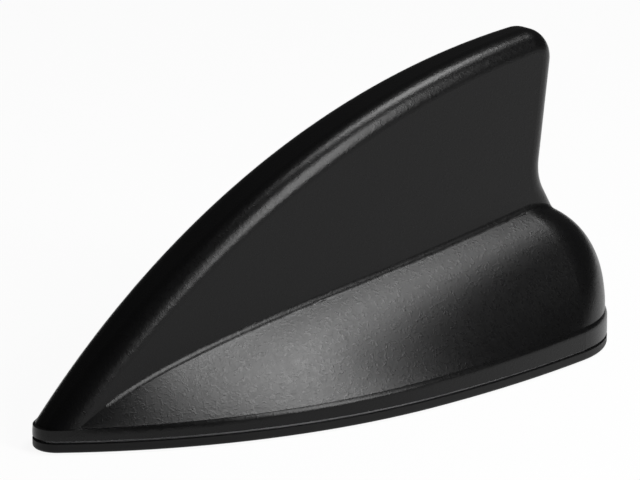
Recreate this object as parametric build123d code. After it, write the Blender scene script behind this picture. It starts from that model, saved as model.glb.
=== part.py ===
from build123d import *
import os
from dataclasses import dataclass, replace
from math import acos, atan2, cos, hypot, pi, radians, sin, sqrt, tan

# Shark fin aerial, lying along X with its nose towards -X and the roof at Z = 0.
# Distances named "from the nose" run along X, and every size is in millimetres.

# Cover seen from above
length = 152.0
width = 62.5
widest_share = 0.55
nose_r = 5.4
tail_share = 0.71
corner_share = 0.77
tail_r = 70.0

# Fin seen from the side
height = 71.7
spine_r = 214.0
spine_start_z = 4.0
chin_gap = 0.25
chin_r = 6.0
tip_r = 6.8
fin_to_tail = 10.4
trailing_lean = 9.3
foot_z = 41.5
foot_r = 10.0
foot_fall = 60.0
foot_run = 10.0

# Fin seen from above
blade_lead = 6.0
blade_overrun = 13.0
blade_nose_r = 5.5
blade_half = 9.0
blade_widest_share = 0.58
blade_side_r = 1050.0
blade_corner_r = 5.0
blade_tail_r = 14.0
blade_draft = 1.75
ridge_round = 5.0
crease_round = 1.8
crease_start = 13.5
ridge_share = 0.9

# Skirt sections, from the rim through the waist to the crest that the blade hides
lip_z = 5.0
lip_rise = 3.0
lip_h = 1.4
lip_in = 0.6
lip_mid_h = 0.6
lip_mid_in = 0.15
lip_end_in = 0.1
lip_ledge = 0.08
rim_nose_r = 5.0
rim_nose_bury = 1.6
waist_z = 6.5
waist_rise = 18.7
waist_share = 0.597
waist_nose_r = 4.6
waist_widest_share = 0.46
waist_side_r = 2400.0
waist_corner_share = 0.75
waist_tail_in = 3.4
waist_tail_r = 60.0
crest_z = 12.4
crest_rise = 22.6
crest_half = 7.0
crest_nose_r = 2.5
crest_widest_share = 0.49
crest_side_r = 1500.0
crest_corner_r = 4.0
crest_from_foot = 3.1
crest_tail_r = 25.0
waist_nose_bury = 2.6
crest_nose_bury = 5.0

# Cover walls
wall = 2.4
rim_w = 3.4
nose_wall = 5.0
mouth_tip = 12.0
mouth_nose_r = 3.0
least_r = 0.5
flank_lean = 45.0
form_overrun = 4.0
seam_match = 0.004
ridge_match = 0.01

# Levels of the base, gasket and seal
gasket_floor = 1.2
gasket_top = 2.0
seam = 2.7
floor_top = 3.2
rib_top = 4.4
pad_top = 5.0

# Gasket and base outlines, stepped in from the cover's
gasket_lip_w = 1.0
gasket_flange_w = 5.0
gasket_edge_round = 0.7
gasket_hole_tip = 13.0
gasket_hole_nose_r = 4.0
base_gap = 0.2
rib_gap = 0.7
rib_w = 1.4
seal_in = 1.95
seal_w = 1.0
seal_depth = 0.9
seal_gap = 0.1

# Cover screws
cover_screw_r = 1.25
cover_screw_head_r = 2.75
cover_screw_head_h = 1.5
cover_screw_end_z = 10.2
head_chamfer = 0.5
recess_reach = 1.1
recess_w = 0.7
recess_depth = 0.7
thread_gap = 0.05
head_gap = 0.35
head_sink = 0.3
shank_gap = 0.4
boss_r = 3.0
pad_r = 4.6
front_screw_x = 24.0
side_screw_x = 81.0
side_screw_in = 9.25
rear_screw_to_tail = 28.0
rear_screw_in = 14.25

# Main board, its posts and screws
board_z = 7.5
board_t = 1.6
board_start = 30.5
board_end = 116.0
board_front_half = 7.0
board_half = 17.0
board_taper_end = 62.0
board_round = 2.0
post_r = 2.6
post_hole_r = 1.0
post_hole_depth = 3.8
board_screw_r = 0.95
board_screw_head_r = 1.8
board_screw_head_h = 1.2
board_screw_reach = 4.8
board_hole_gap = 0.25
front_post_in = 3.5
rear_post_in = 4.0
rear_post_edge = 3.0

# Roof fixing
insert_x = 76.0
insert_flats = 9.0
insert_collar_r = 6.0
insert_collar_t = 1.5
insert_thread_r = 2.5
insert_seat_z = 5.2
insert_chamfer = 0.4
boss_wall = 2.0

# Cable outlet
outlet_x = 100.0
outlet_r = 6.0
grommet_bore_r = 4.0
grommet_flange_r = 7.6
grommet_flange_t = 1.0
grommet_gap = 0.25
socket_pitch = 6.2
socket_flange = 4.6
socket_flange_t = 0.8
socket_r = 1.7
socket_bore_r = 1.1
socket_h = 2.9

# Satellite patch
patch_side = 17.0
patch_t = 4.0
patch_corner = 1.5
patch_x = 50.0
pad_t = 0.4
pin_r = 0.45
pin_head_r = 1.0
pin_head_t = 0.4
pin_gap = 0.15
pin_below_board = 0.6
feed_off = 2.0

# Upright fin board and its metal
fin_board_t = 1.2
fin_board_start = 64.0
fin_foot_end = 113.0
fin_step_z = 18.0
fin_tip_cut = 8.0
fin_clear = 1.8
top_plate_t = 0.5
top_plate_half = 3.0
top_plate_gap = 0.2
bracket_t = 0.5
bracket_w = 6.0
bracket_foot = 4.5
bracket_h = 9.0
front_bracket_x = 74.0
rear_bracket_x = 108.5

# Parts on the main board
coil_x = 68.0
coil_y = -7.5
coil_r = 2.8
coil_wire_r = 0.5
coil_turns = 6
coil_foot_h = 1.0
can_x = 94.0
can_y = -10.5
can_length = 20.0
can_width = 12.0
can_h = 3.6
can_wall = 0.4
can_round = 1.0
chip_side = 4.8
chip_h = 1.1
chip_pitch = 8.4
element_x = 97.0
element_y = 10.0
element_length = 26.0
element_t = 0.5
element_h = 9.5
element_fold = 5.0
element_tab = 3.0
element_tab_w = 4.0
element_tab_pitch = 18.0
slot_w = 1.5
slot_h = 6.0
slot_pitch = 6.5
element_slots = 3

nose_x = -length / 2
draft = tan(radians(blade_draft))
lean = radians(trailing_lean)
fall = radians(foot_fall)
below = -form_overrun
above = height + form_overrun
side_view = Plane(origin=(nose_x, 0, 0), x_dir=(1, 0, 0), z_dir=(0, -1, 0))


def on_circle(centre, radius, angle):
    """Point of a circle at an angle."""
    return (centre[0] + radius * cos(angle), centre[1] + radius * sin(angle))


def arc(centre, radius, start, end):
    """Arc of a circle from one angle to another."""
    points = [on_circle(centre, radius, angle) for angle in (start, (start + end) / 2, end)]
    return ThreePointArc(*points)


def bow_radius(run, drop):
    """Radius of an arc that starts level and drops by an amount over a run."""
    return (run**2 + drop**2) / (2 * drop)


def circles_meet(first, first_r, second, second_r):
    """Point where two circles meet, to the right of the way from the first centre to the second."""
    dx = second[0] - first[0]
    dy = second[1] - first[1]
    gap = hypot(dx, dy)
    along = (first_r**2 - second_r**2 + gap**2) / (2 * gap)
    off = sqrt(first_r**2 - along**2)
    return (first[0] + (along * dx + off * dy) / gap, first[1] + (along * dy - off * dx) / gap)


@dataclass
class Teardrop:
    """Outline of tangent arcs: a round nose, swelling sides, two corners and an arc across the tail."""

    tip: float
    tip_r: float
    half: float
    widest: float
    side_r: float
    corner_r: float
    end: float
    end_r: float

    def inset(self, by):
        """Parallel outline further in, whose tight radii stay open."""
        return Teardrop(
            self.tip + by,
            max(self.tip_r - by, least_r),
            self.half - by,
            self.widest,
            self.side_r - by,
            max(self.corner_r - by, least_r),
            self.end - by,
            self.end_r - by,
        )

    def drawn_in(self, side, ends):
        """Outline drawn in by one amount at its sides and by another at its nose and tail."""
        drawn = self.inset(ends)
        return replace(drawn, half=self.half - side, side_r=self.side_r - side)

    def half_at(self, x):
        """Half width at a place behind the widest one."""
        return self.half - self.side_r + sqrt(self.side_r**2 - (x - self.widest)**2)

    def wire(self, plane):
        """Closed wire of the outline on a plane whose origin is the nose."""
        nose = (self.tip + self.tip_r, 0)
        reach = self.widest - nose[0]
        front_r = (reach**2 + self.half**2 - self.tip_r**2) / (2 * (self.half - self.tip_r))
        front = (self.widest, self.half - front_r)
        rear = (self.widest, self.half - self.side_r)
        tail = (self.end - self.end_r, 0)
        corner = circles_meet(rear, self.side_r - self.corner_r, tail, self.end_r - self.corner_r)
        nose_turn = atan2(-front[1], nose[0] - front[0])
        rear_turn = atan2(corner[1] - rear[1], corner[0] - rear[0])
        tail_turn = atan2(corner[1], corner[0] - tail[0])
        edges = [
            arc(tail, self.end_r, -tail_turn, tail_turn),
            arc(corner, self.corner_r, tail_turn, rear_turn),
            arc(rear, self.side_r, rear_turn, pi / 2),
            arc(front, front_r, pi / 2, nose_turn),
            arc(nose, self.tip_r, nose_turn, 2 * pi - nose_turn),
            arc((front[0], -front[1]), front_r, -nose_turn, -pi / 2),
            arc((rear[0], -rear[1]), self.side_r, -pi / 2, -rear_turn),
            arc((corner[0], -corner[1]), self.corner_r, -rear_turn, -tail_turn),
        ]
        return plane.from_local_coords(Wire(edges))


side_r = bow_radius(length - length * widest_share, width / 2 * (1 - tail_share))
corner_r = width / 2 * corner_share
cover_plan = Teardrop(0, nose_r, width / 2, length * widest_share, side_r, corner_r, length, tail_r)
blade_plan = Teardrop(
    -blade_lead,
    blade_nose_r,
    blade_half,
    length * blade_widest_share,
    blade_side_r,
    blade_corner_r,
    length + blade_overrun,
    blade_tail_r,
)
mouth_plan = replace(cover_plan.inset(rim_w), tip=mouth_tip, tip_r=mouth_nose_r)


def level(z):
    """Level plane at a height, with its origin under the nose."""
    return Plane(origin=(nose_x, 0, z))


def sloped(z, rise):
    """Plane that starts at a height at the nose and rises by an amount to the tail."""
    turn = atan2(rise, length)
    return Plane(origin=(nose_x, 0, z), x_dir=(cos(turn), 0, sin(turn)), z_dir=(-sin(turn), 0, cos(turn)))


def slab(plan, low, high):
    """Straight-sided solid over a plan."""
    return extrude(Face(plan.wire(level(low))), amount=high - low)


def ring(plan, step_in, ring_w, low, high):
    """Straight-sided ring that follows a plan."""
    outer = plan.inset(step_in)
    return slab(outer, low, high) - slab(plan.inset(step_in + ring_w), low, high)


def post(x, y, radius, low, high):
    """Upright cylinder, placed by its distance from the nose."""
    return Pos(nose_x + x, y, low) * extrude(Circle(radius), amount=high - low)


def block(x, y, size_x, size_y, low, high):
    """Upright block, placed by its centre's distance from the nose."""
    return Pos(nose_x + x, y, low) * extrude(Rectangle(size_x, size_y), amount=high - low)


# Fin outline in the side view
fin_rear = length - fin_to_tail
tip_centre = (fin_rear - tip_r, height - tip_r)
spine_centre = circles_meet((0, spine_start_z), spine_r, tip_centre, spine_r - tip_r)
tip_turn = atan2(tip_centre[1] - spine_centre[1], tip_centre[0] - spine_centre[0])
trailing_top = on_circle(tip_centre, tip_r, -lean)
foot_x = trailing_top[0] - (trailing_top[1] - foot_z) * tan(lean)
foot_centre = (foot_x + foot_r * cos(lean), foot_z - foot_r * sin(lean))


def spine_x(z, inset):
    """Distance from the nose at which the inset spine reaches a height."""
    return spine_centre[0] - sqrt((spine_r - inset)**2 - (z - spine_centre[1])**2)


def ridge_edges(front, inset):
    """Chin, spine, tip, trailing edge and foot of the fin, inset from the outer surface."""
    chin_x = front + chin_r - inset
    rise = sqrt((spine_r - chin_r)**2 - (chin_x - spine_centre[0])**2)
    chin_centre = (chin_x, spine_centre[1] + rise)
    chin_turn = atan2(rise, chin_x - spine_centre[0])
    foot = foot_r + inset
    return [
        Line((front, below), (front, chin_centre[1])),
        arc(chin_centre, chin_r - inset, pi, chin_turn),
        arc(spine_centre, spine_r - inset, chin_turn, tip_turn),
        arc(tip_centre, tip_r - inset, tip_turn, -lean),
        Line(on_circle(tip_centre, tip_r - inset, -lean), on_circle(foot_centre, foot, pi - lean)),
        arc(foot_centre, foot, pi - lean, 1.5 * pi - fall),
    ]


def fin_blade(front, inset):
    """Upright blade with sharp edges, inset from the outer surface behind an upright front."""
    ridge = ridge_edges(front, inset)
    foot_end = ridge[-1] @ 1
    run_end = foot_end + Vector(foot_run * cos(fall), -foot_run * sin(fall))
    corner = Vector(run_end.X, below)
    closing = [Line(foot_end, run_end), Line(run_end, corner), Line(corner, ridge[0] @ 0)]
    outline = side_view.from_local_coords(Face(Wire([*ridge, *closing])))
    sections = [blade_plan.inset(inset + (z - seam) * draft).wire(level(z)) for z in (below, above)]
    return (extrude(outline, amount=width / 2, both=True) & Solid.make_loft(sections, ruled=True)).solid()


def rounded_blade():
    """Outer blade with its ridge rounded from the chin to the foot."""
    blade = fin_blade(chin_gap, 0)
    ridge = ridge_edges(chin_gap, 0)
    ridge_line = Compound([side_view.from_local_coords(Edge(edge.wrapped)) for edge in ridge])

    def on_ridge(edge):
        spots = [edge.position_at(t) for t in (0.3, 0.7)]
        beside = all(abs(p.Y) > least_r for p in spots)
        return beside and all(ridge_line.distance_to(Vector(p.X, 0, p.Z)) < ridge_match for p in spots)

    tip_half = blade_plan.inset((height - seam) * draft).half_at(fin_rear)
    return blade.fillet(min(ridge_round, ridge_share * tip_half), blade.edges().filter_by(on_ridge))


def fin_skirt(rim, inset):
    """Flanks and tail dome, lofted from the rim through the waist to the crest inside the blade."""
    step = inset * cos(radians(flank_lean))
    waist = Teardrop(
        spine_x(waist_z, 0) + waist_nose_bury,
        waist_nose_r,
        width / 2 * waist_share,
        length * waist_widest_share,
        waist_side_r,
        width / 2 * waist_share * waist_corner_share,
        length - waist_tail_in,
        waist_tail_r,
    )
    crest = Teardrop(
        spine_x(crest_z, 0) + crest_nose_bury,
        crest_nose_r,
        crest_half,
        length * crest_widest_share,
        crest_side_r,
        crest_corner_r,
        foot_x - crest_from_foot,
        crest_tail_r,
    )
    sections = [rim.wire(sloped(lip_z - step, lip_rise))]
    for plan, z, rise in ((waist, waist_z, waist_rise), (crest, crest_z, crest_rise)):
        section = plan.inset(step)
        section.tip = max(section.tip, rim.tip)
        sections.append(section.wire(sloped(z - step, rise)))
    return Solid.make_loft(sections)


def lip_band():
    """Upright band below the skirt, whose upper edge rolls in to meet it."""
    top = cover_plan.drawn_in(lip_in, lip_end_in).wire(sloped(lip_z, lip_rise))
    middle = cover_plan.drawn_in(lip_mid_in, lip_end_in / 2).wire(sloped(lip_z - lip_mid_h, lip_rise))
    bottom = cover_plan.wire(sloped(lip_z - lip_h, lip_rise))
    roll = Solid.make_loft([bottom, middle, top])
    band = Solid.make_loft([cover_plan.wire(level(seam)), bottom], ruled=True)
    return roll + band


def outer_form():
    """Whole outer surface of the cover, with a hollow round where skirt and blade meet."""
    lip_top = sloped(lip_z, lip_rise)
    blade = rounded_blade()
    rim = cover_plan.drawn_in(lip_in + lip_ledge, lip_end_in + lip_ledge)
    rim = replace(rim, tip=chin_gap + rim_nose_bury, tip_r=rim_nose_r)
    skirt = fin_skirt(rim, 0)
    body = split((blade + skirt).solid(), bisect_by=lip_top, keep=Keep.TOP).solid()
    nose_cut = Plane(origin=(nose_x + crease_start, 0, 0), z_dir=(1, 0, 0))
    nose = split(body, bisect_by=nose_cut, keep=Keep.BOTTOM).solid()
    rest = split(body, bisect_by=nose_cut, keep=Keep.TOP).solid().clean()
    blade_skin = Compound(blade.faces())
    skirt_skin = Compound(skirt.faces())

    def on_crease(edge):
        spots = [edge.position_at(t) for t in (0.25, 0.5, 0.75)]
        return all(skin.distance_to(p) < seam_match for skin in (blade_skin, skirt_skin) for p in spots)

    rest = rest.fillet(crease_round, rest.edges().filter_by(on_crease))
    return (rest + nose + lip_band()).solid()


def inner_form():
    """Hollow of the cover, open below."""
    mouth_top = sloped(lip_z - wall * cos(radians(flank_lean)), lip_rise)
    mouth = extrude(Face(mouth_plan.wire(mouth_top)), amount=height, dir=(0, 0, -1))
    return (fin_blade(nose_wall, wall) + (fin_skirt(mouth_plan, wall) + mouth)).solid()


side_screw_y = width / 2 - side_screw_in
rear_screw_y = width / 2 - rear_screw_in
rear_screw_x = length - rear_screw_to_tail
cover_screw_places = [
    (front_screw_x, 0),
    (side_screw_x, side_screw_y),
    (side_screw_x, -side_screw_y),
    (rear_screw_x, rear_screw_y),
    (rear_screw_x, -rear_screw_y),
]
board_top = board_z + board_t
patch_low = board_top + pad_t
patch_top = patch_low + patch_t
head_seat_z = gasket_floor + head_sink + cover_screw_head_h
rear_post_x = board_end - rear_post_in
rear_post_y = board_half - rear_post_edge
board_screw_places = [
    (board_start + front_post_in, 0),
    (rear_post_x, rear_post_y),
    (rear_post_x, -rear_post_y),
]


def cover_shell():
    """Moulded cover with a screw boss over each hole of the base."""
    outer = outer_form()
    shell = outer - inner_form()
    for x, y in cover_screw_places:
        shell += post(x, y, boss_r, pad_top, above) & outer
    for x, y in cover_screw_places:
        shell -= post(x, y, cover_screw_r + thread_gap, pad_top, cover_screw_end_z + head_gap)
    return shell


def gasket_hole():
    """Opening of the gasket, with a longer and rounder nose than a parallel outline has."""
    return replace(cover_plan.inset(gasket_flange_w), tip=gasket_hole_tip, tip_r=gasket_hole_nose_r)


def roof_gasket():
    """Rubber gasket: a flat flange on the roof and a low lip that hugs the base."""
    outside = slab(cover_plan, 0, gasket_top)
    outside = fillet(outside.edges().group_by(Axis.Z)[0], gasket_edge_round)
    seat = slab(cover_plan.inset(gasket_lip_w), gasket_floor, gasket_top)
    return outside - seat - slab(gasket_hole(), 0, gasket_top)


def base_plate():
    """Cast base: a flange under the cover's rim, a locating rib, pads, posts and a fixing boss."""
    flange_in = gasket_lip_w + base_gap
    base = slab(cover_plan.inset(flange_in), gasket_floor, seam)
    base += slab(mouth_plan.inset(rib_gap), gasket_floor, floor_top)
    base += ring(mouth_plan, rib_gap, rib_w, floor_top, rib_top)
    base += post(insert_x, 0, insert_collar_r + boss_wall, floor_top, insert_seat_z)
    for x, y in cover_screw_places:
        base += post(x, y, pad_r, floor_top, pad_top)
    for x, y in board_screw_places:
        base += post(x, y, post_r, floor_top, board_z)
    base -= ring(cover_plan, seal_in, seal_w + 2 * seal_gap, seam - seal_depth, seam)
    base -= insert_body(insert_seat_z)
    base -= post(outlet_x, 0, outlet_r, gasket_floor, floor_top)
    for x, y in cover_screw_places:
        base -= post(x, y, cover_screw_r + shank_gap, gasket_floor, pad_top)
        base -= post(x, y, cover_screw_head_r + head_gap, gasket_floor, head_seat_z)
    for x, y in board_screw_places:
        base -= post(x, y, post_hole_r, board_z - post_hole_depth, board_z)
    return base


def perimeter_seal():
    """Flat rubber ring in the base's groove, under the cover's rim."""
    return ring(cover_plan, seal_in + seal_gap, seal_w, seam - seal_depth, seam)


def insert_body(top):
    """Six-sided body of the roof fixing, from the base's underside up."""
    flats = RegularPolygon(insert_flats / 2, 6, major_radius=False)
    return Pos(nose_x + insert_x, 0, gasket_floor) * extrude(flats, amount=top - gasket_floor)


def fixing_insert():
    """Threaded insert whose collar sits on the base's boss."""
    top = insert_seat_z + insert_collar_t
    insert = insert_body(insert_seat_z) + post(insert_x, 0, insert_collar_r, insert_seat_z, top)
    insert -= post(insert_x, 0, insert_thread_r, gasket_floor, top)
    mouth = insert.edges().filter_by(GeomType.CIRCLE).group_by(Axis.Z)[0]
    return chamfer(mouth, insert_chamfer)


def cable_grommet():
    """Rubber grommet with a flange on each side of the base's outlet."""
    low = gasket_floor - grommet_flange_t
    high = floor_top + grommet_flange_t
    grommet = post(outlet_x, 0, outlet_r - grommet_gap, low, high)
    grommet += post(outlet_x, 0, grommet_flange_r, low, gasket_floor)
    grommet += post(outlet_x, 0, grommet_flange_r, floor_top, high)
    return grommet - post(outlet_x, 0, grommet_bore_r, low, high)


def screw(x, y, seat, head_r, head_h, shank_r, reach):
    """Cross-recessed screw seated at a height, whose shank points up for a positive reach, else down."""
    way = 1 if reach > 0 else -1
    head = extrude(Circle(head_r), amount=-way * head_h)
    crown = head.faces().sort_by(Axis.Z)[0 if way > 0 else -1]
    head = chamfer(crown.edges(), head_chamfer)
    cross = Rectangle(2 * recess_reach, recess_w) + Rectangle(recess_w, 2 * recess_reach)
    head -= Pos(0, 0, -way * head_h) * extrude(cross, amount=way * recess_depth)
    return Pos(nose_x + x, y, seat) * (head + extrude(Circle(shank_r), amount=reach))


def cover_screws():
    """Screws from below, through the base into the cover's bosses."""
    reach = cover_screw_end_z - head_seat_z
    sizes = (head_seat_z, cover_screw_head_r, cover_screw_head_h, cover_screw_r, reach)
    return Compound([screw(x, y, *sizes).solid() for x, y in cover_screw_places])


def board_screws():
    """Screws that hold the main board on its posts."""
    sizes = (board_top, board_screw_head_r, board_screw_head_h, board_screw_r, -board_screw_reach)
    return Compound([screw(x, y, *sizes).solid() for x, y in board_screw_places])


def main_board():
    """Circuit board with a narrow front, holes for its screws and for the patch's pin."""
    corners = [
        (board_start, -board_front_half),
        (board_taper_end, -board_half),
        (board_end, -board_half),
        (board_end, board_half),
        (board_taper_end, board_half),
        (board_start, board_front_half),
    ]
    outline = make_face(Polyline(*corners, close=True))
    outline = fillet(outline.vertices(), board_round)
    board = Pos(nose_x, 0, board_z) * extrude(outline, amount=board_t)
    for x, y in board_screw_places:
        board -= post(x, y, board_screw_r + board_hole_gap, board_z, board_top)
    return board - post(patch_x + feed_off, 0, pin_r + pin_gap, board_z, board_top)


def patch_tile(low, high):
    """Square tile with cut corners and a hole for the feed pin."""
    outline = chamfer(Rectangle(patch_side, patch_side).vertices(), patch_corner)
    tile = Pos(nose_x + patch_x, 0, low) * extrude(outline, amount=high - low)
    return tile - post(patch_x + feed_off, 0, pin_r + pin_gap, low, high)


def patch_feed_pin():
    """Headed pin through the patch, its pad and the board."""
    x = patch_x + feed_off
    shank = post(x, 0, pin_r, board_z - pin_below_board, patch_top)
    return shank + post(x, 0, pin_head_r, patch_top, patch_top + pin_head_t)


board_spine_r = spine_r - wall - fin_clear - top_plate_t


def spine_turn(x):
    """Angle about the spine's centre at which the fin board's upper edge lies over a place."""
    return acos((x - spine_centre[0]) / board_spine_r)


def behind(z):
    """Point of the fin board's rear edge, parallel to the trailing edge."""
    inset = (wall + fin_clear) / cos(lean)
    return (trailing_top[0] - inset - (trailing_top[1] - z) * tan(lean), z)


def fin_board():
    """Upright aerial board that follows the spine and the trailing edge inside the blade."""
    front = spine_turn(fin_board_start)
    rear = spine_turn(tip_centre[0] - fin_tip_cut)
    top = arc(spine_centre, board_spine_r, front, rear)
    foot = [(fin_foot_end, fin_step_z), (fin_foot_end, board_top), (fin_board_start, board_top)]
    back = [behind(trailing_top[1] - fin_tip_cut / 2), behind(foot_z - foot_r)]
    below_top = Polyline(top @ 1, *back, *foot, top @ 0)
    outline = side_view.from_local_coords(make_face([*top.edges(), *below_top.edges()]))
    return extrude(outline, amount=fin_board_t / 2, both=True)


def top_load_plate():
    """Curved metal strip along the fin board's upper edge."""
    low = board_spine_r + top_plate_gap
    high = low + top_plate_t
    front = spine_turn(fin_board_start)
    rear = spine_turn(tip_centre[0] - fin_tip_cut)
    under = arc(spine_centre, low, front, rear)
    over = arc(spine_centre, high, front, rear)
    ends = [Line(under @ 0, over @ 0), Line(under @ 1, over @ 1)]
    outline = side_view.from_local_coords(make_face([*under.edges(), *over.edges(), *ends]))
    return extrude(outline, amount=top_plate_half, both=True)


def bracket(x, side):
    """Folded angle between the main board and one face of the fin board."""
    face_y = fin_board_t / 2
    corners = [
        (face_y, board_top),
        (face_y + bracket_foot, board_top),
        (face_y + bracket_foot, board_top + bracket_t),
        (face_y + bracket_t, board_top + bracket_t),
        (face_y + bracket_t, board_top + bracket_h),
        (face_y, board_top + bracket_h),
    ]
    across = Plane(origin=(nose_x + x, 0, 0), x_dir=(0, side, 0), z_dir=(side, 0, 0))
    return extrude(across * make_face(Polyline(*corners, close=True)), amount=bracket_w / 2, both=True)


def board_brackets():
    """Two angles that hold the fin board upright, one on each face."""
    return Compound([bracket(front_bracket_x, 1).solid(), bracket(rear_bracket_x, -1).solid()])


def matching_coil():
    """Wound coil on a round foot, with one ridge for each turn."""
    pitch = 2 * coil_wire_r
    outline = [(0, 0), (coil_r, 0), (coil_r, coil_foot_h)]
    for turn in range(coil_turns):
        outline.append((coil_r + coil_wire_r, coil_foot_h + (turn + 0.5) * pitch))
        outline.append((coil_r, coil_foot_h + (turn + 1) * pitch))
    outline.append((0, coil_foot_h + coil_turns * pitch))
    coil = revolve(Plane.XZ * make_face(Polyline(*outline, close=True)), Axis.Z)
    return Pos(nose_x + coil_x, coil_y, board_top) * coil


def screening_can():
    """Pressed metal can, open below, over the amplifier."""
    place = Pos(nose_x + can_x, can_y, board_top)
    can = extrude(RectangleRounded(can_length, can_width, can_round), amount=can_h)
    hollow = RectangleRounded(can_length - 2 * can_wall, can_width - 2 * can_wall, can_round - can_wall)
    return place * (can - extrude(hollow, amount=can_h - can_wall))


def amplifier_chips():
    """Two chips under the can."""
    places = [can_x - chip_pitch / 2, can_x + chip_pitch / 2]
    chip_top = board_top + chip_h
    chips = [block(x, can_y, chip_side, chip_side, board_top, chip_top) for x in places]
    return Compound([chip.solid() for chip in chips])


def phone_element():
    """Stamped metal element: a slotted upright, a top folded inwards and two soldered tabs."""
    top = board_top + element_h
    element = block(element_x, element_y, element_length, element_t, board_top, top)
    fold_y = element_y - element_fold / 2
    element += block(element_x, fold_y, element_length, element_fold, top - element_t, top)
    tab_y = element_y + element_tab / 2
    for x in (element_x - element_tab_pitch / 2, element_x + element_tab_pitch / 2):
        element += block(x, tab_y, element_tab_w, element_tab, board_top, board_top + element_t)
    for step in range(element_slots):
        x = element_x + (step - (element_slots - 1) / 2) * slot_pitch
        element -= block(x, element_y, slot_w, 2 * element_t, top - element_t - slot_h, top - 2 * element_t)
    return element


def coax_socket(y):
    """Board socket with a square flange and a round barrel that points down to the outlet."""
    flange_low = board_z - socket_flange_t
    socket = block(outlet_x, y, socket_flange, socket_flange, flange_low, board_z)
    socket += post(outlet_x, y, socket_r, board_z - socket_h, flange_low)
    return socket - post(outlet_x, y, socket_bore_r, board_z - socket_h, flange_low)


def coax_sockets():
    """Row of sockets on the board's underside, over the cable outlet."""
    return Compound([coax_socket(y).solid() for y in (-socket_pitch, 0, socket_pitch)])


pieces = {
    "cover_shell": cover_shell(),
    "roof_gasket": roof_gasket(),
    "base_plate": base_plate(),
    "perimeter_seal": perimeter_seal(),
    "main_board": main_board(),
    "fin_board": fin_board(),
    "top_load_plate": top_load_plate(),
    "board_brackets": board_brackets(),
    "matching_coil": matching_coil(),
    "satellite_patch": patch_tile(patch_low, patch_top),
    "patch_feed_pin": patch_feed_pin(),
    "patch_pad": patch_tile(board_top, patch_low),
    "screening_can": screening_can(),
    "amplifier_chips": amplifier_chips(),
    "phone_element": phone_element(),
    "coax_sockets": coax_sockets(),
    "cable_grommet": cable_grommet(),
    "fixing_insert": fixing_insert(),
    "cover_screws": cover_screws(),
    "board_screws": board_screws(),
}

os.makedirs("parts", exist_ok=True)
for name, piece in pieces.items():
    export_step(piece, f"parts/{name}.step")
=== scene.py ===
import logging
import math
from dataclasses import dataclass, field
from enum import Enum

import bpy
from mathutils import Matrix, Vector


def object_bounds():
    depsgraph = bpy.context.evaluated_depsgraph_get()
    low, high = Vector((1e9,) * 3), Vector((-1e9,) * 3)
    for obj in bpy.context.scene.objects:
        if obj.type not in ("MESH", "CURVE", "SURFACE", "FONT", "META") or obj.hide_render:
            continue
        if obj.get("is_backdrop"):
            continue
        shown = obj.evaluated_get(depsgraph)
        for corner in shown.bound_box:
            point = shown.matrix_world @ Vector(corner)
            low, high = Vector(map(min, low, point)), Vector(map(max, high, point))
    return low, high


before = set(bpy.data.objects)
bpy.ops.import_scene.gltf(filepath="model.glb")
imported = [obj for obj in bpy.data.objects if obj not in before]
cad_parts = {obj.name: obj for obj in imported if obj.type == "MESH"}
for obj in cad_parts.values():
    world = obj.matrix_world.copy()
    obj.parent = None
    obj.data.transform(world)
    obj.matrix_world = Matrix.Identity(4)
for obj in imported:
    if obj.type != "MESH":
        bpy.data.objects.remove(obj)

log = logging.getLogger("shark_fin_aerial")

Triple = tuple[float, float, float]
Colour = Triple

# Noise values lie mostly between these two.
NOISE_LOW = 0.25
NOISE_HIGH = 0.75

# The clouds in a finish's colour are this many of its cells across.
CLOUD_CELLS = 14.0
CLOUD_DETAIL = 3.0


class Skin(Enum):
    """Fine surface that a finish carries."""

    MOULD_GRAIN = "mould grain"
    RUBBER = "rubber"
    CAST = "cast"
    ROLLED = "rolled sheet"
    MASKED = "solder mask"
    FIRED = "fired tile"
    TURNED = "turned metal"
    FOAM = "foam"


@dataclass(frozen=True)
class Grain:
    """Noise that draws a fine surface."""

    detail: float
    kind: str = "FBM"
    distortion: float = 0.0
    stretch: Triple | None = None


GRAINS: dict[Skin, Grain] = {
    Skin.MOULD_GRAIN: Grain(detail=1.0, distortion=1.4),
    Skin.RUBBER: Grain(detail=3.0),
    Skin.CAST: Grain(detail=4.0, kind="HYBRID_MULTIFRACTAL"),
    Skin.ROLLED: Grain(detail=3.0, stretch=(0.06, 1.0, 1.0)),
    Skin.MASKED: Grain(detail=3.0),
    Skin.FIRED: Grain(detail=3.0),
    Skin.TURNED: Grain(detail=2.0, stretch=(0.15, 0.15, 1.0)),
    Skin.FOAM: Grain(detail=0.0, kind="MULTIFRACTAL"),
}


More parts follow.
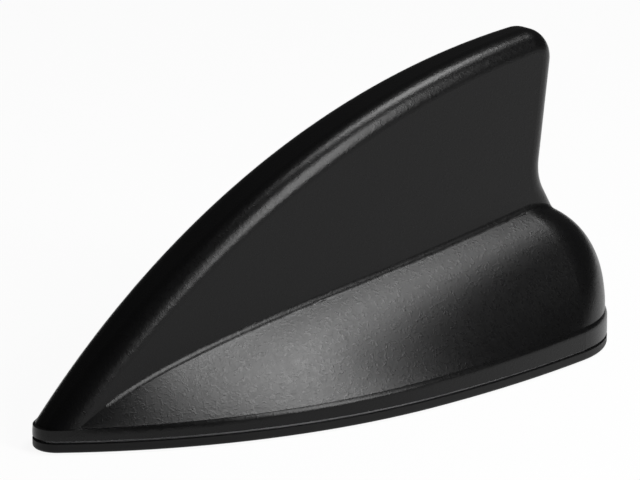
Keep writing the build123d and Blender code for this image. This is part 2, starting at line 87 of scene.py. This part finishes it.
class NodeSheet:
    """Node tree of one material, with short calls for the nodes that the finishes share."""

    def __init__(self, name: str) -> None:
        """Starts an empty material with one principled shader.

        Args:
            name: name of the material.
        """
        self.material = bpy.data.materials.new(name)
        self.material.use_nodes = True
        self.tree = self.material.node_tree
        self.tree.nodes.clear()
        self.shader = self.tree.nodes.new("ShaderNodeBsdfPrincipled")
        out = self.tree.nodes.new("ShaderNodeOutputMaterial")
        self.join(self.shader.outputs["BSDF"], out.inputs["Surface"])
        self.place = self.tree.nodes.new("ShaderNodeTexCoord").outputs["Object"]

    def join(self, source: bpy.types.NodeSocket, target: bpy.types.NodeSocket) -> None:
        """Links one socket to another."""
        self.tree.links.new(source, target)

    def stretched(self, scale: Triple) -> bpy.types.NodeSocket:
        """Object coordinates stretched along the axes.

        Args:
            scale: factor for each axis.

        Returns:
            The stretched coordinates.
        """
        node = self.tree.nodes.new("ShaderNodeMapping")
        node.inputs["Scale"].default_value = scale
        self.join(self.place, node.inputs["Vector"])
        return node.outputs["Vector"]

    def noise(self, cell: float, grain: Grain) -> bpy.types.NodeSocket:
        """Noise whose features are about one cell across.

        Args:
            cell: feature size in metres.
            grain: detail, kind, distortion and stretch of the noise.

        Returns:
            The noise value.
        """
        place = self.place if grain.stretch is None else self.stretched(grain.stretch)
        node = self.tree.nodes.new("ShaderNodeTexNoise")
        node.noise_type = grain.kind
        node.inputs["Scale"].default_value = 1.0 / cell
        node.inputs["Detail"].default_value = grain.detail
        node.inputs["Distortion"].default_value = grain.distortion
        self.join(place, node.inputs["Vector"])
        return node.outputs["Fac"]

    def spread(self, source: bpy.types.NodeSocket, low: float, high: float) -> bpy.types.NodeSocket:
        """Maps the middle of a noise value to a range.

        Args:
            source: noise value.
            low: result at the lower end.
            high: result at the upper end.

        Returns:
            The mapped value.
        """
        node = self.tree.nodes.new("ShaderNodeMapRange")
        node.inputs["From Min"].default_value = NOISE_LOW
        node.inputs["From Max"].default_value = NOISE_HIGH
        node.inputs["To Min"].default_value = low
        node.inputs["To Max"].default_value = high
        self.join(source, node.inputs["Value"])
        return node.outputs["Result"]

    def blend(self, source: bpy.types.NodeSocket, low: Colour, high: Colour) -> bpy.types.NodeSocket:
        """Colour between two colours, by a noise value.

        Args:
            source: noise value.
            low: colour at the lower end.
            high: colour at the upper end.

        Returns:
            The colour.
        """
        node = self.tree.nodes.new("ShaderNodeValToRGB")
        node.color_ramp.elements[0].position = NOISE_LOW
        node.color_ramp.elements[1].position = NOISE_HIGH
        node.color_ramp.elements[0].color = (*low, 1.0)
        node.color_ramp.elements[1].color = (*high, 1.0)
        self.join(source, node.inputs["Fac"])
        return node.outputs["Color"]

    def emboss(self, height: bpy.types.NodeSocket, strength: float, depth: float) -> None:
        """Gives the shader a bumpy normal.

        Args:
            height: height value of the pattern.
            strength: share of the bump that shows.
            depth: height of the pattern in metres.
        """
        node = self.tree.nodes.new("ShaderNodeBump")
        node.inputs["Strength"].default_value = strength
        node.inputs["Distance"].default_value = depth
        self.join(height, node.inputs["Height"])
        self.join(node.outputs["Normal"], self.shader.inputs["Normal"])


@dataclass(frozen=True)
class Finish:
    """One finish: its colour, gloss and fine surface.

    The shifts say how far the colour and the roughness vary. The cell and the depth are the size and the
    height of the fine surface, in metres, and the strength is the share of it that shows.
    """

    slot: str
    skin: Skin
    colour: Colour
    shift: float
    roughness: float
    roughness_shift: float
    cell: float
    depth: float
    strength: float
    metallic: float = 0.0
    specular: float = 0.5

    def shaded(self, factor: float) -> Colour:
        """Colour made lighter or darker by a factor."""
        return tuple(min(1.0, channel * factor) for channel in self.colour)

    def material(self) -> bpy.types.Material:
        """Node material of the finish.

        Returns:
            The finished material.
        """
        sheet = NodeSheet(self.slot)
        shader = sheet.shader
        shader.inputs["Metallic"].default_value = self.metallic
        shader.inputs["Specular IOR Level"].default_value = self.specular
        pattern = sheet.noise(self.cell, GRAINS[self.skin])
        cloud = sheet.noise(self.cell * CLOUD_CELLS, Grain(CLOUD_DETAIL))
        tint = sheet.blend(cloud, self.shaded(1.0 - self.shift), self.shaded(1.0 + self.shift))
        sheet.join(tint, shader.inputs["Base Color"])
        low = self.roughness - self.roughness_shift
        high = self.roughness + self.roughness_shift
        sheet.join(sheet.spread(pattern, high, low), shader.inputs["Roughness"])
        sheet.emboss(pattern, self.strength, self.depth)
        return sheet.material


COVER_PLASTIC = Finish(
    slot="cover_plastic",
    skin=Skin.MOULD_GRAIN,
    colour=(0.0014, 0.0014, 0.0015),
    shift=0.12,
    roughness=0.29,
    roughness_shift=0.03,
    cell=0.0009,
    depth=0.00006,
    strength=0.5,
    specular=0.22,
)
GASKET_RUBBER = Finish(
    slot="gasket_rubber",
    skin=Skin.RUBBER,
    colour=(0.004, 0.004, 0.0041),
    shift=0.15,
    roughness=0.5,
    roughness_shift=0.05,
    cell=0.0006,
    depth=0.00002,
    strength=0.4,
    specular=0.18,
)
SEAL_RUBBER = Finish(
    slot="seal_rubber",
    skin=Skin.RUBBER,
    colour=(0.03, 0.03, 0.03),
    shift=0.15,
    roughness=0.66,
    roughness_shift=0.05,
    cell=0.0005,
    depth=0.00002,
    strength=0.4,
)
BASE_ALLOY = Finish(
    slot="base_alloy",
    skin=Skin.CAST,
    colour=(0.42, 0.42, 0.43),
    shift=0.08,
    roughness=0.46,
    roughness_shift=0.08,
    cell=0.0007,
    depth=0.00004,
    strength=0.5,
    metallic=1.0,
)
BOARD_LAMINATE = Finish(
    slot="board_laminate",
    skin=Skin.MASKED,
    colour=(0.018, 0.11, 0.05),
    shift=0.2,
    roughness=0.34,
    roughness_shift=0.05,
    cell=0.0009,
    depth=0.00001,
    strength=0.3,
)
PLATED_STRIP = Finish(
    slot="plated_strip",
    skin=Skin.ROLLED,
    colour=(0.66, 0.65, 0.62),
    shift=0.06,
    roughness=0.32,
    roughness_shift=0.08,
    cell=0.0003,
    depth=0.00001,
    strength=0.3,
    metallic=1.0,
)
CAN_STEEL = Finish(
    slot="can_steel",
    skin=Skin.ROLLED,
    colour=(0.6, 0.6, 0.59),
    shift=0.06,
    roughness=0.36,
    roughness_shift=0.08,
    cell=0.0003,
    depth=0.00001,
    strength=0.3,
    metallic=1.0,
)
COIL_COPPER = Finish(
    slot="coil_copper",
    skin=Skin.TURNED,
    colour=(0.62, 0.27, 0.12),
    shift=0.08,
    roughness=0.28,
    roughness_shift=0.06,
    cell=0.0004,
    depth=0.00001,
    strength=0.3,
    metallic=1.0,
)
CONTACT_BRASS = Finish(
    slot="contact_brass",
    skin=Skin.TURNED,
    colour=(0.66, 0.47, 0.19),
    shift=0.06,
    roughness=0.27,
    roughness_shift=0.06,
    cell=0.0003,
    depth=0.00001,
    strength=0.3,
    metallic=1.0,
)
SCREW_STEEL = Finish(
    slot="screw_steel",
    skin=Skin.TURNED,
    colour=(0.5, 0.5, 0.51),
    shift=0.06,
    roughness=0.33,
    roughness_shift=0.06,
    cell=0.0003,
    depth=0.00001,
    strength=0.3,
    metallic=1.0,
)
PATCH_CERAMIC = Finish(
    slot="patch_ceramic",
    skin=Skin.FIRED,
    colour=(0.52, 0.4, 0.27),
    shift=0.1,
    roughness=0.55,
    roughness_shift=0.08,
    cell=0.0005,
    depth=0.00002,
    strength=0.5,
)
PAD_FOAM = Finish(
    slot="pad_foam",
    skin=Skin.FOAM,
    colour=(0.62, 0.62, 0.59),
    shift=0.06,
    roughness=0.85,
    roughness_shift=0.04,
    cell=0.0004,
    depth=0.00005,
    strength=0.6,
)
CHIP_RESIN = Finish(
    slot="chip_resin",
    skin=Skin.RUBBER,
    colour=(0.014, 0.014, 0.015),
    shift=0.12,
    roughness=0.5,
    roughness_shift=0.06,
    cell=0.0003,
    depth=0.00001,
    strength=0.4,
)


@dataclass
class SubAssembly:
    """Group of CAD nodes that are dressed together."""

    title: str
    finishes: dict[str, Finish]

    def dress(self) -> None:
        """Gives each node of the group its material."""
        for node, finish in self.finishes.items():
            name = finish.slot + "_finish"
            found = bpy.data.materials.get(name)
            if found is None:
                found = finish.material()
                found.name = name
            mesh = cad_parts[node].data
            mesh.materials.clear()
            mesh.materials.append(found)
            log.info("%s: %s has %s", self.title, node, finish.slot)


@dataclass
class Cover(SubAssembly):
    """Moulded fin cover and the gasket below it."""

    title: str = "cover"
    finishes: dict[str, Finish] = field(
        default_factory=lambda: {
            "cover_shell": COVER_PLASTIC,
            "roof_gasket": GASKET_RUBBER,
        }
    )


@dataclass
class Base(SubAssembly):
    """Cast base with its seal, grommet, fixing and screws."""

    title: str = "base"
    finishes: dict[str, Finish] = field(
        default_factory=lambda: {
            "base_plate": BASE_ALLOY,
            "perimeter_seal": SEAL_RUBBER,
            "cable_grommet": SEAL_RUBBER,
            "fixing_insert": CONTACT_BRASS,
            "cover_screws": SCREW_STEEL,
        }
    )


@dataclass
class RadioBoards(SubAssembly):
    """Circuit boards and the aerial elements on them."""

    title: str = "boards"
    finishes: dict[str, Finish] = field(
        default_factory=lambda: {
            "main_board": BOARD_LAMINATE,
            "fin_board": BOARD_LAMINATE,
            "top_load_plate": PLATED_STRIP,
            "board_brackets": PLATED_STRIP,
            "phone_element": PLATED_STRIP,
            "matching_coil": COIL_COPPER,
            "satellite_patch": PATCH_CERAMIC,
            "patch_feed_pin": CONTACT_BRASS,
            "patch_pad": PAD_FOAM,
            "screening_can": CAN_STEEL,
            "amplifier_chips": CHIP_RESIN,
            "coax_sockets": CONTACT_BRASS,
            "board_screws": SCREW_STEEL,
        }
    )


class LampRole(Enum):
    """Part of the aerial that a lamp is there for."""

    FLANK = "flank softbox"
    SPINE = "spine strip"
    NOSE = "nose softbox"
    TAIL = "tail fill"


@dataclass(frozen=True)
class Lamp:
    """Softbox that faces the aerial, with its sizes in metres and its power in watts."""

    role: LampRole
    direction: Triple
    distance: float
    width: float
    height: float
    power: float

    def build(self, target: Vector) -> bpy.types.Object:
        """Area lamp aimed at the aerial.

        Args:
            target: point that the lamp faces.

        Returns:
            The lamp object.
        """
        data = bpy.data.lights.new(self.role.value.replace(" ", "_"), "AREA")
        data.shape = "RECTANGLE"
        data.size = self.width
        data.size_y = self.height
        data.energy = self.power
        lamp = bpy.data.objects.new(data.name, data)
        way = Vector(self.direction).normalized()
        lamp.location = target + way * self.distance
        lamp.rotation_euler = way.to_track_quat("Z", "Y").to_euler()
        bpy.context.scene.collection.objects.link(lamp)
        return lamp


@dataclass
class Studio:
    """White floor, softboxes and the camera.

    The footprint's centre is the aerial's origin. Its place in the picture is in pixels from the upper left
    corner. Distances are in metres, apart from the sensor's width in millimetres.
    """

    azimuth: float = -39.0
    elevation: float = 18.0
    distance: float = 0.9986
    focal_px: float = 4500.0
    image_width: int = 640
    image_height: int = 480
    footprint_px: tuple[float, float] = (316.3, 380.95)
    sensor: float = 36.0
    clip_start: float = 0.01
    floor_radius: float = 4.0
    floor_sides: int = 96
    floor_gap: float = 0.0002
    floor_colour: float = 0.8
    floor_glow: float = 1.0
    floor_seen: float = 0.92
    world_level: float = 0.06
    lamps: tuple[Lamp, ...] = (
        Lamp(LampRole.FLANK, direction=(0.31, -0.16, 0.937), distance=0.9, width=0.3, height=0.26, power=3.9),
        Lamp(LampRole.SPINE, direction=(0.25, -0.84, 0.48), distance=0.9, width=0.3, height=0.56, power=7.0),
        Lamp(LampRole.NOSE, direction=(0.1, -0.13, 0.986), distance=0.9, width=0.14, height=0.14, power=0.65),
        Lamp(LampRole.TAIL, direction=(0.43, -0.19, 0.88), distance=0.9, width=0.2, height=0.2, power=0.84),
    )

    def camera_back(self) -> Vector:
        """Direction from the aerial to the camera.

        Returns:
            The unit direction.
        """
        turn = math.radians(self.azimuth)
        rise = math.radians(self.elevation)
        return Vector((math.sin(turn) * math.cos(rise), -math.cos(turn) * math.cos(rise), math.sin(rise)))

    def build_camera(self) -> None:
        """Places the camera and aims it so that the footprint's centre falls where the picture has it."""
        back = self.camera_back()
        across = Vector((0.0, 0.0, 1.0)).cross(back).normalized()
        up = back.cross(across)
        scale = self.distance / self.focal_px
        aside = (self.image_width / 2 - self.footprint_px[0]) * scale
        higher = (self.footprint_px[1] - self.image_height / 2) * scale
        data = bpy.data.cameras.new("camera")
        data.sensor_width = self.sensor
        data.lens = self.focal_px / self.image_width * self.sensor
        data.clip_start = self.clip_start
        camera = bpy.data.objects.new("camera", data)
        camera.location = back * self.distance
        aim = across * aside + up * higher - camera.location
        camera.rotation_euler = aim.to_track_quat("-Z", "Y").to_euler()
        bpy.context.scene.collection.objects.link(camera)
        bpy.context.scene.camera = camera

    def build_floor(self) -> None:
        """Large pale floor, just below the aerial."""
        bpy.ops.mesh.primitive_circle_add(vertices=self.floor_sides, radius=self.floor_radius, fill_type="NGON")
        floor = bpy.context.object
        floor.name = "floor"
        floor.location.z = -self.floor_gap
        floor.data.materials.append(self.floor_material())
        floor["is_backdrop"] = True

    def floor_material(self) -> bpy.types.Material:
        """Material that looks white, keeps the aerial's shadow and is clear from below.

        Returns:
            The floor's material.
        """
        material = bpy.data.materials.new("floor")
        material.use_nodes = True
        tree = material.node_tree
        tree.nodes.clear()
        plain = tree.nodes.new("ShaderNodeBsdfDiffuse")
        plain.inputs["Color"].default_value = (self.floor_colour,) * 3 + (1.0,)
        glow = tree.nodes.new("ShaderNodeEmission")
        glow.inputs["Strength"].default_value = self.floor_glow
        path = tree.nodes.new("ShaderNodeLightPath")
        seen = path.outputs["Is Camera Ray"]
        for ray in ("Is Glossy Ray", "Is Transmission Ray"):
            either = tree.nodes.new("ShaderNodeMath")
            either.operation = "MAXIMUM"
            tree.links.new(seen, either.inputs[0])
            tree.links.new(path.outputs[ray], either.inputs[1])
            seen = either.outputs["Value"]
        share = tree.nodes.new("ShaderNodeMath")
        share.operation = "MULTIPLY"
        share.inputs[1].default_value = self.floor_seen
        tree.links.new(seen, share.inputs[0])
        mix = tree.nodes.new("ShaderNodeMixShader")
        tree.links.new(share.outputs["Value"], mix.inputs["Fac"])
        tree.links.new(plain.outputs["BSDF"], mix.inputs[1])
        tree.links.new(glow.outputs["Emission"], mix.inputs[2])
        clear = tree.nodes.new("ShaderNodeBsdfTransparent")
        side = tree.nodes.new("ShaderNodeNewGeometry")
        one_way = tree.nodes.new("ShaderNodeMixShader")
        tree.links.new(side.outputs["Backfacing"], one_way.inputs["Fac"])
        tree.links.new(mix.outputs["Shader"], one_way.inputs[1])
        tree.links.new(clear.outputs["BSDF"], one_way.inputs[2])
        out = tree.nodes.new("ShaderNodeOutputMaterial")
        tree.links.new(one_way.outputs["Shader"], out.inputs["Surface"])
        return material

    def build_world(self) -> None:
        """Dim even light from all round."""
        world = bpy.data.worlds.new("world")
        world.use_nodes = True
        sky = world.node_tree.nodes["Background"]
        sky.inputs["Color"].default_value = (self.world_level,) * 3 + (1.0,)
        bpy.context.scene.world = world

    def build(self) -> None:
        """Makes the floor, the light and the camera."""
        self.build_floor()
        self.build_world()
        low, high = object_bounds()
        for lamp in self.lamps:
            lamp.build((low + high) / 2)
            log.info("studio: %s", lamp.role.value)
        self.build_camera()
        bpy.context.scene.view_settings.view_transform = "Standard"


def main() -> None:
    """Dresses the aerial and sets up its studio."""
    logging.basicConfig(level=logging.INFO, format="%(name)s: %(message)s")
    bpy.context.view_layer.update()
    for group in (Cover(), Base(), RadioBoards()):
        group.dress()
    Studio().build()


if __name__ == "__main__":
    main()
